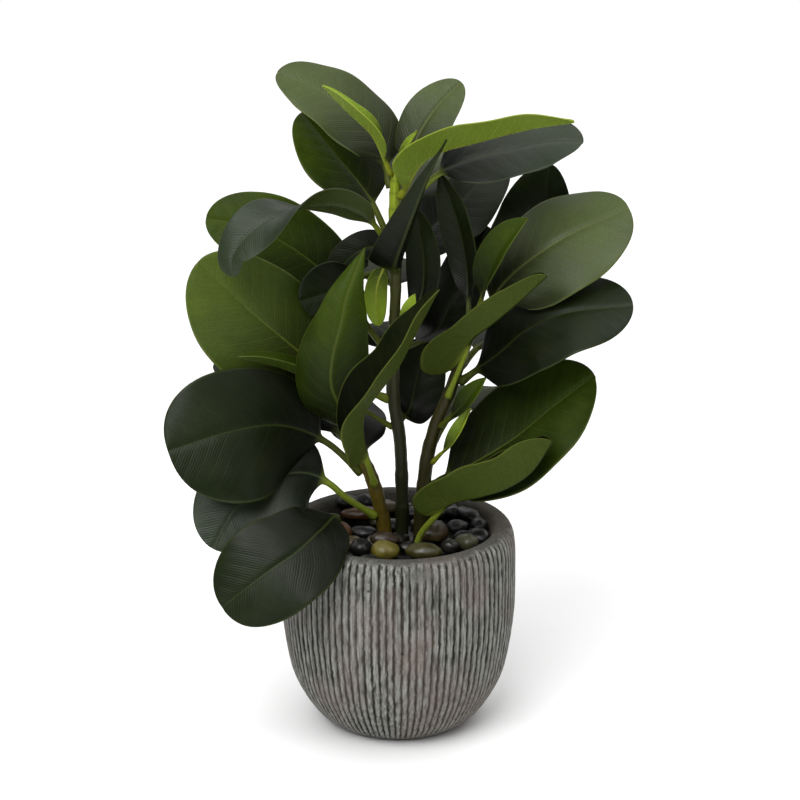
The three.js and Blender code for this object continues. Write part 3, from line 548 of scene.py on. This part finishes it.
def coated_leaf(name, look):
    """Soft plastic sheet pressed with veins and coated satin. It gives the eye a slightly mottled green, a
    pale midrib, quiet sunk side veins, a pale cut margin and a broad sheen. The green is darker towards the
    base and
    lighter towards the tip: partly the leaf's own colour, partly painted shade inside the plant and painted
    light on the tips."""
    material, tree = blank_material(name)
    place = add(tree, "Attribute", out="Vector", attribute_name="blade_mm")
    edge, part, top = (add(tree, "Attribute", out="Fac", attribute_name=label)
                       for label in ("edge", "part", "top"))
    axes = add(tree, "SeparateXYZ", (place,)).node.outputs
    across = add(tree, "Math ABSOLUTE", (axes["X"],))
    left = add(tree, "Math SIGN", (axes["X"],))
    patches = noise(tree, place, 1 / PATCH_SIZE, 3.0)
    grain = noise(tree, place, 1 / GRAIN_SIZE, 2.0)

    # side veins: how far along the midrib the vein through a point starts
    climb = add(tree, "Math MULTIPLY_ADD", (across, -VEIN_SLOPE, axes["Y"]))
    square = add(tree, "Math MULTIPLY", (across, across))
    climb = add(tree, "Math MULTIPLY_ADD", (square, -VEIN_BEND, climb))
    climb = add(tree, "Math MULTIPLY_ADD", (left, VEIN_SPACING / 4, climb))
    wander = add(tree, "Math MULTIPLY_ADD", (patches, VEIN_WANDER, climb))
    wander = add(tree, "Math ADD", (wander, -VEIN_WANDER / 2))
    from_vein = add(tree, "Math PINGPONG", (wander, VEIN_SPACING / 2))
    side_vein = remap(tree, from_vein, *SIDE_VEIN_HALF, 1.0, 0.0, eased=True)
    from_fine = add(tree, "Math PINGPONG", (wander, FINE_VEIN_SPACING / 2))
    fine_vein = remap(tree, from_fine, 0.0, FINE_VEIN_HALF, 1.0, 0.0, eased=True)
    fade = remap(tree, edge, 0.55, 0.97, 1.0, 0.0)
    side_vein, fine_vein = (add(tree, "Math MULTIPLY", (vein, fade)) for vein in (side_vein, fine_vein))
    # the midrib narrows from base to tip
    rib_edge = remap(tree, part, 0.0, 1.0, *MIDRIB_HALF)
    rib_core = add(tree, "Math MULTIPLY", (rib_edge, 0.4))
    midrib = remap(tree, across, rib_core, rib_edge, 1.0, 0.0, eased=True)

    near_rib = remap(tree, across, 0.0, HEART_REACH, 0.55, 0.0)
    mottle = remap(tree, patches, 0.35, 0.7, 0.0, 0.75)
    heart = add(tree, "Math MAXIMUM", (near_rib, mottle))
    colour = painted(tree, look["blade"], heart, look["heart"])
    # painted shade and light over the leaf's own darker base: darker towards the base, inside the plant,
    # lighter towards the tip
    depth = remap(tree, part, 0.02, 0.85, 0.2, 1.4, eased=True)
    colour = add(tree, "VectorMath SCALE", {0: colour, "Scale": depth})
    below = remap(tree, top, -0.1, 0.1, 1.0, 0.0)
    lines = add(tree, "Math MULTIPLY", (side_vein, look["veins"]))
    lines = add(tree, "Math MULTIPLY_ADD", (fine_vein, look["veins"] * 0.8, lines))
    lines = add(tree, "Math MAXIMUM", (lines, midrib), use_clamp=True)
    margin = remap(tree, edge, 0.95, 1.0, 0.0, 0.8)
    stalk = remap(tree, part, -0.02, 0.05, 1.0, 0.0)
    for cover, paint in ((below, "under"), (lines, "vein"), (margin, "edge"), (stalk, "stalk")):
        colour = painted(tree, colour, cover, look[paint])
    colour = dappled(tree, colour, grain, 0.9, 1.08)

    relief = add(tree, "Math MULTIPLY_ADD", (side_vein, -0.15, 1.0))
    relief = add(tree, "Math MULTIPLY_ADD", (fine_vein, -0.25, relief))
    relief = add(tree, "Math MULTIPLY_ADD", (grain, 0.25, relief))
    gloss = remap(tree, patches, 0.3, 0.7, look["rough"] - 0.05, look["rough"] + 0.07)
    surface(tree, relief, 0.5, 0.4, {"Base Color": colour, "Roughness": gloss, "IOR": 1.45,
                                     "Specular IOR Level": look["shine"]})
    return material


leaf_materials = {tone: coated_leaf(f"coated_leaf_{tone}", look) for tone, look in TONES.items()}
for number, (name, leaf) in enumerate(LEAVES.items()):
    tone = leaf.get("tone", "mid")
    mesh = leaf_mesh(name + "_leaf", leaf, number, leaf_materials[tone])
    put(shown(name + "_leaf", mesh), "leaf_" + name)

# ---- the stems ----
# STEM_JOINTS: the heights where a stem steps out of the sheath below. STEM_WARMTH: how brown it is, 0 to 1.

STEM_JOINTS = {
    "main": (113, 131, 158, 172, 194, 214, 232, 245, 254, 262, 270, 278, 284),
    "left": (108, 124, 130, 136),
    "right": (110, 126, 140, 148, 160, 176, 184, 194, 208, 214),
}
STEM_WARMTH = {"main": 0.0, "left": 0.8, "right": 0.15}
STEM_STEP = 0.7              # between the rings of a stem
STEM_SIDES = 20
STEM_UNEVENNESS = 0.5
PAINT_AND_SHADE_FROM, PAINT_AND_SHADE_TO = 90, 300             # heights over which the paint, darkened by painted shade low down, turns from dark to yellow green
SHEATH_SWELL = 0.09          # how much thicker a stem is at a joint
SHEATH_LENGTH, STEP_LENGTH = 6, 1.4        # over what length it swells below the joint and narrows above it
SCAR_HEIGHT, SCAR_LENGTH, SCAR_STRENGTH = 0.8, 0.6, 0.35


def moulded_stem():
    """Moulded plastic over wire, painted. It gives the eye a satin surface with fine lengthwise streaks,
    nearly black green at the foot, olive brown in the middle and yellow green at the top; the dark towards
    the foot is partly painted shade, where the leaves shade the stems."""
    material, tree = blank_material("painted_moulded_stem")
    place = add(tree, "TexCoord", out="Object")
    height = add(tree, "SeparateXYZ", (place,), out="Z")
    # painted shade: the colour darkens towards the foot, inside the plant, over the stems' own olive and
    # yellow green
    colour_and_shade_by_height = remap(tree, height, PAINT_AND_SHADE_FROM * MM, PAINT_AND_SHADE_TO * MM, 0.0, 1.0)
    stretched = add(tree, "VectorMath MULTIPLY", (place, (1.0, 1.0, 0.12)))
    streaks = noise(tree, stretched, 900.0, 3.0)     # 1.1 mm apart
    patches = noise(tree, place, 60.0, 3.0)          # 17 mm across
    wander = add(tree, "Math MULTIPLY_ADD", (patches, 0.25, colour_and_shade_by_height))
    colour = add(tree, "ValToRGB", (wander,), stops=(
        (0.05, "#0f1204"), (1.0, "#7e8e1e"), (0.25, "#191d06"), (0.62, "#27260a"), (0.82, "#34360c"),
        (0.93, "#66741a")))
    for label, paint in (("warm", "#55480f"), ("node_ring", "#221d0a")):
        cover = add(tree, "Attribute", out="Fac", attribute_name=label)
        colour = painted(tree, colour, cover, paint)
    colour = dappled(tree, colour, streaks, 0.75, 1.2)
    surface(tree, streaks, 0.4, 0.4, {"Base Color": colour, "Roughness": 0.5, "IOR": 1.46,
                                      "Specular IOR Level": 0.3})
    return material


def stalk_tree():
    """A round stalk along a line, as thick as the line's own thickness says, with a slightly uneven skin."""
    tree, given = new_tree("Jointed stalk", {"Sides": "Int", "Unevenness": "Float", "Material": "Material"})
    thick = add(tree, "InputNamedAttribute", {"Name": "thick"}, data_type="FLOAT")
    curve = add(tree, "MeshToCurve", {"Mesh": given["Geometry"]})
    ring = add(tree, "CurvePrimitiveCircle", {"Resolution": given["Sides"], "Radius": 1.0})
    skin = add(tree, "CurveToMesh", {"Curve": curve, "Profile Curve": ring, "Scale": thick,
                                     "Fill Caps": True})
    return end_tree(tree, given, uneven(tree, given, skin, 180.0, 2.0))


def stem_line(name, stem):
    """A stem's centre line as a mesh of edges, with its thickness, its warmth and the dark scars at its
    joints. It swells towards each joint and steps in above it, as if each length grew out of a sheath."""
    line, way = spline(stem["points"])
    distances = np.arange(0, way[-1], STEM_STEP)
    at, _ = places(line, way, distances)
    thick = mix(*stem["radii"], distances / way[-1])
    scar = np.zeros(len(at))
    for joint in STEM_JOINTS[name]:
        above = at[:, 2] - joint
        swell = np.exp(-(above / np.where(above < 0, SHEATH_LENGTH, STEP_LENGTH)) ** 2)
        thick = thick * (1 + SHEATH_SWELL * swell)
        scar = np.maximum(scar, SCAR_STRENGTH * np.exp(-((above - SCAR_HEIGHT) / SCAR_LENGTH) ** 2))
    mesh = bpy.data.meshes.new(name + "_line")
    mesh.from_pydata((at * MM).tolist(), [(i, i + 1) for i in range(len(at) - 1)], [])
    keep(mesh, {"thick": thick * MM, "node_ring": scar, "warm": np.full(len(at), STEM_WARMTH[name])})
    return mesh


stem_material = moulded_stem()
stalk = stalk_tree()
for name, stem in STEMS.items():
    piece = grown(name + "_stem", stalk, stem_line(name, stem),
                  {"Sides": STEM_SIDES, "Unevenness": STEM_UNEVENNESS * MM, "Material": stem_material})
    put(piece, "stem_" + name)

# ---- the pot ----
# POT_OUTSIDE, POT_INSIDE: radius and height of the wall's profile, from the foot over the rim to the floor.

RIBS = 98
COLUMNS_PER_RIB = 9
RIB_DEPTH = 1.1              # from the crest of a rib to the bottom of its groove
RIB_TOP = 105                # height at which the ribs run out under the rim
RAGGED_EDGE = 5              # how far up and down they end unevenly there
RIB_FOOT = 0.8, 5            # heights between which they rise out of the foot
RIB_WANDER = 0.02            # radians between a rib's places farthest left and right
RING_GAP = 1.7               # between the rings of the ribbed wall
RIM_START, RIM_RINGS = RIB_TOP - 4, 26     # from where up the rings lie closer, and how many they are
POT_OUTSIDE = ((33, 0), (35, 0.9), (38, 2.5), (44, 8), (50, 17), (55, 28), (58, 42), (60.3, 62), (60.5, 74),
               (60.5, 84), (60, 97), (59, 102), (57.6, 104.6), (56, 105.6), (53.5, 106), (50.5, 105.5),
               (48.9, 103.8), (48, 101), (47, 97))
POT_INSIDE = ((47, 50), (40, 24), (28, 12))
SMEAR = (10.5, -58.5, 100)   # the middle of a patch near the rim where cement has run over the ribs
SMEAR_REACH = 7, 15          # how far from it the ribs start to show, and are whole


def cast_cement():
    """Cast cement with brushed ribs. It gives the eye dry grey ridges between nearly black grooves, brownish
    stains, a few small air holes, and a smoother, darker skin at the rim and wherever the ribs stop."""
    material, tree = blank_material("cast_ribbed_cement")
    place = add(tree, "TexCoord", out="Object")
    groove, plain = (add(tree, "Attribute", out="Fac", attribute_name=label) for label in ("groove", "plain"))
    stretched = add(tree, "VectorMath MULTIPLY", (place, (1.0, 1.0, 0.07)))
    # streaks 1.1 mm apart, sand of 0.9 mm, coarser than the real sand so that it shows, and stains of 40 mm
    streaks = noise(tree, stretched, 900.0, 3.0, roughness=0.6)
    sand = noise(tree, place, 1100.0, 3.0)
    stains = noise(tree, place, 26.0, 4.0, roughness=0.6)
    depth = add(tree, "Math MULTIPLY_ADD", (streaks, -0.75, groove))
    depth = add(tree, "Math ADD", (depth, 0.45))
    ridges = add(tree, "ValToRGB", (depth,), stops=(
        (0.0, "#8a8b86"), (0.9, "#0f0e0b"), (0.12, "#757671"), (0.32, "#4b4b45"), (0.55, "#24231f")))
    smear = remap(tree, sand, 0.3, 0.7, 0.0, 1.0)
    smooth_skin = painted(tree, "#3c3b35", smear, "#53524c")
    colour = painted(tree, ridges, plain, smooth_skin)
    stained = remap(tree, stains, 0.44, 0.62, 0.0, 0.55)
    colour = painted(tree, colour, stained, "#6e635c")
    # the grooves stay dark where they are stained
    crests = remap(tree, depth, 0.2, 0.75, 1.0, 0.3)
    light = add(tree, "Mix", {0: plain, 2: crests, 3: 1.0}, data_type="FLOAT")
    light = add(tree, "Mix", {0: stained, 2: 1.0, 3: light}, data_type="FLOAT")
    colour = add(tree, "VectorMath SCALE", {0: colour, "Scale": light})
    # air holes, 13 mm apart
    holes = add(tree, "TexVoronoi", {"Vector": place, "Scale": 75.0}, out="Distance")
    hole = remap(tree, holes, 0.03, 0.09, 1.0, 0.0)
    colour = painted(tree, colour, hole, "#24231d")
    colour = dappled(tree, colour, sand, 0.86, 1.12)
    relief = add(tree, "Math MULTIPLY_ADD", (streaks, 0.7, sand))
    relief = add(tree, "Math MULTIPLY_ADD", (hole, -1.5, relief))
    surface(tree, relief, 0.6, 0.35, {"Base Color": colour, "Roughness": 0.88, "Specular IOR Level": 0.3})
    return material


def rib_tree():
    """Ribs up and down a turned wall: each column of the wall keeps its place in its rib, while the ribs
    wander sideways and their grooves vary in depth. It keeps how deep each point lies, and where no rib is,
    for the cement."""
    tree, given = new_tree("Brushed ribs", {
        "Ribs": "Float", "Groove depth": "Float", "Wander": "Float", "Top": "Float", "Smear": "Vector",
        "Material": "Material"})
    turn, outside = (add(tree, "InputNamedAttribute", {"Name": label}, data_type="FLOAT")
                     for label in ("turn", "outside"))
    place = add(tree, "InputPosition")
    height = add(tree, "SeparateXYZ", (place,), out="Z")
    tall = add(tree, "VectorMath MULTIPLY", (place, (1.0, 1.0, 0.22)))
    # narrow grooves between broad crests, a little crooked
    crooked = noise(tree, place, 420.0, 2.0)
    crooked = remap(tree, crooked, 0.25, 0.75, -0.12, 0.12)
    phase = add(tree, "Math MULTIPLY_ADD", (turn, given["Ribs"], crooked))
    crest = add(tree, "Math PINGPONG", (phase, 0.5))
    crest = add(tree, "Math MULTIPLY_ADD", (crest, -2.0, 1.0))
    groove = add(tree, "Math POWER", (crest, 4.2))
    depths = noise(tree, tall, 190.0, 3.0)
    depths = remap(tree, depths, 0.3, 0.7, 0.55, 1.25)
    lines = noise(tree, tall, 620.0, 1.0)
    lines = remap(tree, lines, 0.45, 0.75, 0.0, 0.22)
    relief = add(tree, "Math MULTIPLY_ADD", (groove, depths, lines))
    # the ribs stop at a ragged line under the rim, at the foot, over the smear and inside
    ragged = noise(tree, place, 160.0, 2.0)
    ragged = add(tree, "Math MULTIPLY_ADD", (ragged, RAGGED_EDGE * MM, height))
    ragged = add(tree, "Math SUBTRACT", (ragged, given["Top"]))
    top = remap(tree, ragged, 1.5 * MM, 3.2 * MM, 1.0, 0.0)
    foot = remap(tree, height, *(h * MM for h in RIB_FOOT), 0.0, 1.0)
    from_smear = add(tree, "VectorMath SUBTRACT", (place, given["Smear"]))
    from_smear = add(tree, "VectorMath MULTIPLY", (from_smear, (1.0, 1.0, 2.1)))
    from_smear = add(tree, "VectorMath LENGTH", (from_smear,), out="Value")
    from_smear = add(tree, "Math MULTIPLY_ADD", (depths, 4 * MM, from_smear))
    clear = remap(tree, from_smear, *(r * MM for r in SMEAR_REACH), 0.3, 1.0)
    mask = add(tree, "Math MULTIPLY", (top, foot))
    for bound in (clear, outside):
        mask = add(tree, "Math MULTIPLY", (mask, bound))
    relief = add(tree, "Math MULTIPLY", (relief, mask))
    plain = add(tree, "Math SUBTRACT", (1.0, mask))
    inwards = add(tree, "Math MULTIPLY", (relief, given["Groove depth"]))
    inwards = add(tree, "Math MULTIPLY", (inwards, -1.0))
    normal = add(tree, "InputNormal")
    offset = add(tree, "VectorMath SCALE", {0: normal, "Scale": inwards})
    sideways = noise(tree, tall, 150.0, 1.0)
    sideways = add(tree, "Math SUBTRACT", (sideways, 0.5))
    for bound in (given["Wander"], outside):
        sideways = add(tree, "Math MULTIPLY", (sideways, bound))
    turned = add(tree, "VectorRotate", {"Vector": place, "Angle": sideways}, rotation_type="Z_AXIS")
    wall = given["Geometry"]
    for label, value in (("groove", relief), ("plain", plain)):
        wall = add(tree, "StoreNamedAttribute", {"Geometry": wall, "Name": label, "Value": value},
                   data_type="FLOAT", domain="POINT")
    wall = add(tree, "SetPosition", {"Geometry": wall, "Position": turned, "Offset": offset})
    return end_tree(tree, given, wall)


def turned_wall(material):
    """The pot's closed wall, turned from its profile, with as many columns as the ribs need. Each point keeps
    its turn round the pot, 0 to 1, and whether it lies on the outside."""
    line, way = spline([(r, 0, z) for r, z in POT_OUTSIDE])
    highest = np.argmax(line[:, 2])
    rim = np.interp(RIM_START, line[:highest, 2], way[:highest])
    distances = np.concatenate([np.arange(0, rim, RING_GAP), np.linspace(rim, way[-1], RIM_RINGS)])
    outer, _ = places(line, way, distances)
    radius, height = np.vstack([outer[:, [0, 2]], POT_INSIDE]).T
    columns = RIBS * COLUMNS_PER_RIB
    turn = np.arange(columns) / columns
    angle = 2 * math.pi * turn
    rings = np.stack([radius[:, None] * np.cos(angle), radius[:, None] * np.sin(angle),
                      np.broadcast_to(height[:, None], (len(height), columns))], -1)
    outside = (np.arange(len(height)) < np.argmax(height)).astype(float)
    fields = {"turn": [*np.tile(turn, len(height)), 0, 0], "outside": [*np.repeat(outside, columns), 0, 0]}
    return closed_skin("pot_wall", rings, [(0, 0, 0), (0, 0, height[-1])], fields, material)


cement = cast_cement()
pot = grown("ribbed_pot", rib_tree(), turned_wall(cement), {
    "Ribs": float(RIBS), "Groove depth": RIB_DEPTH * MM, "Wander": RIB_WANDER, "Top": RIB_TOP * MM,
    "Smear": [s * MM for s in SMEAR], "Material": cement})
put(pot, "pot")

# ---- the pebbles ----
# x, y, height of the middle, half length, half width, half height, turn in degrees, tilt in degrees, shade.
# Shades: 0 the grit between the pebbles, 1 olive yellow, 2 dark olive, 3 brown, 4 dark tan, 5 greenish grey,
# 6 black, 7 orange brown, 8 nearly black brown.

PEBBLES = [
    (-6.3, -20, 98.5, 7.4, 6, 5, 5, 0, 1), (12.9, -21, 98.5, 9.4, 5.5, 4.2, -5, 0, 2),
    (-7, -4, 98.5, 8, 5, 4, 0, 0, 3), (6, -10, 96.5, 5, 4, 3, 20, 0, 8),
    (18.7, 2, 100, 7.6, 7, 5.4, 30, 0, 4), (35, -9, 99, 6.5, 5, 4.2, -30, 0, 5),
    (26.2, -14, 98.5, 5, 4.5, 3.8, -20, 0, 8), (30, 24, 102.5, 6, 4.5, 3.4, 10, 10, 6),
    (37, 19, 103.5, 8, 4.5, 3.2, -40, 12, 6), (31, 8, 100.5, 7, 5, 3.8, 35, 8, 6),
    (42, 8, 101.5, 6.5, 4.5, 4, 80, 10, 6), (42, -2, 99.5, 6.5, 5, 3.8, -60, 8, 6),
    (34, -2, 98.5, 6.5, 4.5, 3.6, 0, 0, 6), (-19.7, 28, 101, 10.6, 5, 3.4, 4, 0, 7),
    (-28, 2, 100, 4.5, 6.5, 5, 10, 0, 7), (-18.7, -16, 98.5, 5.5, 6.5, 4.6, -30, 0, 6),
    (-15, -30, 96.5, 6, 4.5, 3.6, -20, 0, 6), (-31, -14, 97.5, 6, 5, 3.8, 50, 0, 6),
    (-26, 36, 103.5, 7, 5, 4.2, 30, 10, 6), (-17, 41, 102.5, 7, 4.5, 4, -10, 10, 6),
    (-4, 18, 97.5, 7.5, 5, 3.6, 0, 0, 6), (-18, 9, 97.5, 7.5, 4.5, 3.2, 5, 0, 6),
    (9, 34, 98.5, 6, 5, 4, 20, 0, 6), (20, 32, 99.5, 7, 5, 4, -20, 6, 6),
    (20, 16, 97.5, 6, 5, 4, 40, 0, 8), (0, -38, 95.5, 7, 5, 3.6, 10, 0, 4),
    (24, -33, 95.5, 7, 5, 3.6, -40, 0, 3), (-31, -28, 95.5, 7, 5, 3.6, 40, 0, 5),
    (-40, -6, 96.5, 6, 5, 3.8, 80, 0, 4), (-40, 12, 97.5, 7, 5, 3.8, 70, 4, 8),
    (-35, 24, 98.5, 6, 5, 3.8, 50, 6, 5), (-6, 42, 99.5, 7, 5, 3.8, 0, 6, 4),
    (5, 43, 97.5, 6, 4, 3.6, 15, 6, 8), (28, 36, 100.5, 6, 4, 3.6, -40, 8, 8),
    (-10, 30, 96.5, 6, 5, 3.6, 60, 0, 5), (12, 22, 96.5, 6, 5, 3.6, -30, 0, 3),
    (-24, -4, 96.5, 6, 5, 3.6, 20, 0, 4), (14, 4, 95.5, 6, 5, 3.4, 0, 0, 8),
    (-14, -14, 95.5, 6, 5, 3.4, 10, 0, 8), (-12, 0, 95.5, 6, 5, 3.4, 70, 0, 5),
    (0, 4, 95.5, 6, 5, 3.4, 40, 0, 8), (38, -26, 95.5, 5, 4, 3.2, -50, 0, 8),
    (10, -35, 94.5, 6, 5, 3.2, 0, 0, 8), (-22, -36, 94.5, 6, 4, 3.2, 30, 0, 2),
]
PEBBLE_SHADES = ("#060502", "#5c541a", "#35310e", "#2c1f10", "#3c3119", "#3a3a26", "#030403",
                 "#43270a", "#0d0a04")
PEBBLE_UNEVENNESS = 2.6
GRIT_RADIUS = 46.6
GRIT_HEIGHT = 92.5           # of the middle of the grit's layer
GRIT_THICKNESS = 4


def glazed_pebbles():
    """Tumbled river pebbles, most of them black. Each one has its own colour, with faint clouds in the stone
    and a half-wet gloss."""
    material, tree = blank_material("tumbled_pebbles")
    place = add(tree, "TexCoord", out="Object")
    shade = add(tree, "Attribute", out="Fac", attribute_name="shade")
    count = len(PEBBLE_SHADES)
    index = add(tree, "Math MULTIPLY_ADD", (shade, 1 / count, 0.5 / count))
    stone = add(tree, "ValToRGB", (index,),
                stops=[(i / count, colour) for i, colour in enumerate(PEBBLE_SHADES)])
    stone.node.color_ramp.interpolation = "CONSTANT"
    # clouds of 6 mm, and a grain of 0.7 mm, coarser than the real one so that it shows
    clouds = noise(tree, place, 170.0, 4.0, distortion=0.6)
    grain = noise(tree, place, 1500.0, 2.0)
    colour = dappled(tree, stone, clouds, 0.7, 1.3)
    gloss = remap(tree, clouds, 0.3, 0.7, 0.3, 0.55)
    surface(tree, grain, 0.25, 0.2, {"Base Color": colour, "Roughness": gloss, "IOR": 1.5})
    return material


def pebble_tree():
    """A rounded stone at each point of a mesh, sized, turned and tilted by the point's own values, over a
    disc of grit."""
    tree, given = new_tree("Laid pebbles", {"Unevenness": "Float", "Grit radius": "Float",
                                            "Grit height": "Float", "Material": "Material"})
    size, turn = (add(tree, "InputNamedAttribute", {"Name": label}, data_type="FLOAT_VECTOR")
                  for label in ("size", "turn"))
    stone = add(tree, "MeshIcoSphere", {"Radius": 1.0, "Subdivisions": 4})
    points = add(tree, "MeshToPoints", {"Mesh": given["Geometry"]})
    laid = add(tree, "InstanceOnPoints", {"Points": points, "Instance": stone, "Rotation": turn,
                                          "Scale": size})
    laid = add(tree, "RealizeInstances", {"Geometry": laid})
    grit = add(tree, "MeshCylinder", {
        "Vertices": 96, "Side Segments": 1, "Fill Segments": 30, "Radius": given["Grit radius"],
        "Depth": GRIT_THICKNESS * MM})
    centre = add(tree, "CombineXYZ", {"Z": given["Grit height"]})
    grit = add(tree, "Transform", {"Geometry": grit, "Translation": centre})
    both = add(tree, "JoinGeometry", {"Geometry": laid})
    tree.links.new(grit, both.node.inputs[0])
    return end_tree(tree, given, uneven(tree, given, both, 130.0, 1.5))


def pebble_points():
    """A point for each pebble, with its size, turn and shade."""
    mesh = bpy.data.meshes.new("pebble_points")
    table = np.array(PEBBLES, float)
    mesh.from_pydata((table[:, :3] * MM).tolist(), [], [])
    turn = np.radians(np.stack([np.zeros(len(table)), table[:, 7], table[:, 6]], -1))
    keep(mesh, {"size": table[:, 3:6] * MM, "turn": turn, "shade": table[:, 8]})
    return mesh


pebbles = grown("pebbles", pebble_tree(), pebble_points(), {
    "Unevenness": PEBBLE_UNEVENNESS * MM, "Grit radius": GRIT_RADIUS * MM, "Grit height": GRIT_HEIGHT * MM,
    "Material": glazed_pebbles()})
put(pebbles, "pebble_layer")


def cast_foam():
    """Rigid planting foam: dull, dark brown and full of small cells. Only its underside could ever show."""
    material, tree = blank_material("rigid_planting_foam")
    place = add(tree, "TexCoord", out="Object")
    # cells of 1.4 mm, coarser than the real ones so that they show
    cells = add(tree, "TexVoronoi", {"Vector": place, "Scale": 700.0}, out="Distance")
    clouds = noise(tree, place, 60.0, 3.0)
    shade = add(tree, "Math MULTIPLY", (cells, clouds))
    colour = add(tree, "ValToRGB", (shade,), stops=((0.0, "#1d1712"), (0.6, "#4a4038")))
    surface(tree, cells, 0.6, 0.5, {"Base Color": colour, "Roughness": 0.95})
    return material


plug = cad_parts["planting_plug"]
plug.data.materials.clear()
plug.data.materials.append(cast_foam())

# ---- the floor and the light ----

FLOOR_RADIUS = 2.1           # metres, as far as the floor is fully lit
FLOOR_CORNERS = 96
FLOOR_LEVEL = -0.0002        # just under the pot's foot
ROOM_LIGHT = 0.2             # the pale room's own light on the plant
BACKDROP = 1.0               # how bright the room's far wall looks
PLANT_MIDDLE = np.array((0, 0, 0.17))      # metres


def pale_floor():
    """Matt white paint."""
    material, tree = blank_material("pale_floor_paint")
    shader = add(tree, "BsdfPrincipled", {"Base Color": "#f4f4f4", "Roughness": 0.9,
                                          "Specular IOR Level": 0.1})
    add(tree, "OutputMaterial", {"Surface": shader})
    return material


floor_turns = np.arange(FLOOR_CORNERS) / FLOOR_CORNERS * 2 * math.pi
floor_rim = [(FLOOR_RADIUS * math.cos(t), FLOOR_RADIUS * math.sin(t), FLOOR_LEVEL) for t in floor_turns]
floor_mesh = bpy.data.meshes.new("floor")
floor_mesh.from_pydata(floor_rim, [], [tuple(range(FLOOR_CORNERS))])
floor_mesh.materials.append(pale_floor())
shown("floor", floor_mesh)


def soft_light(name, place, size, power):
    """A square area light that looks at the middle of the plant."""
    light = bpy.data.lights.new(name, "AREA")
    light.shape = "SQUARE"
    light.size = size
    light.energy = power
    lamp = shown(name, light)
    lamp.location = place
    aim = PLANT_MIDDLE - np.array(place)
    lamp.rotation_euler = (math.atan2(math.hypot(aim[0], aim[1]), -aim[2]), 0, math.atan2(-aim[0], aim[1]))


soft_light("key_light", (-0.8, -1.7, 2.0), 1.8, 64)
soft_light("fill_light", (1.6, -1.3, 1.0), 1.4, 5)
soft_light("top_light", (0, 1.0, 4.0), 8, 310)

world = bpy.data.worlds.new("studio")
scene.world = world
world.use_nodes = True
background = world.node_tree.nodes["Background"]
background.inputs["Color"].default_value = (1, 1, 1, 1)
seen = add(world.node_tree, "LightPath", out="Is Camera Ray")
strength = remap(world.node_tree, seen, 0.0, 1.0, ROOM_LIGHT, BACKDROP)
world.node_tree.links.new(strength, background.inputs["Strength"])
scene.view_settings.view_transform = "Standard"
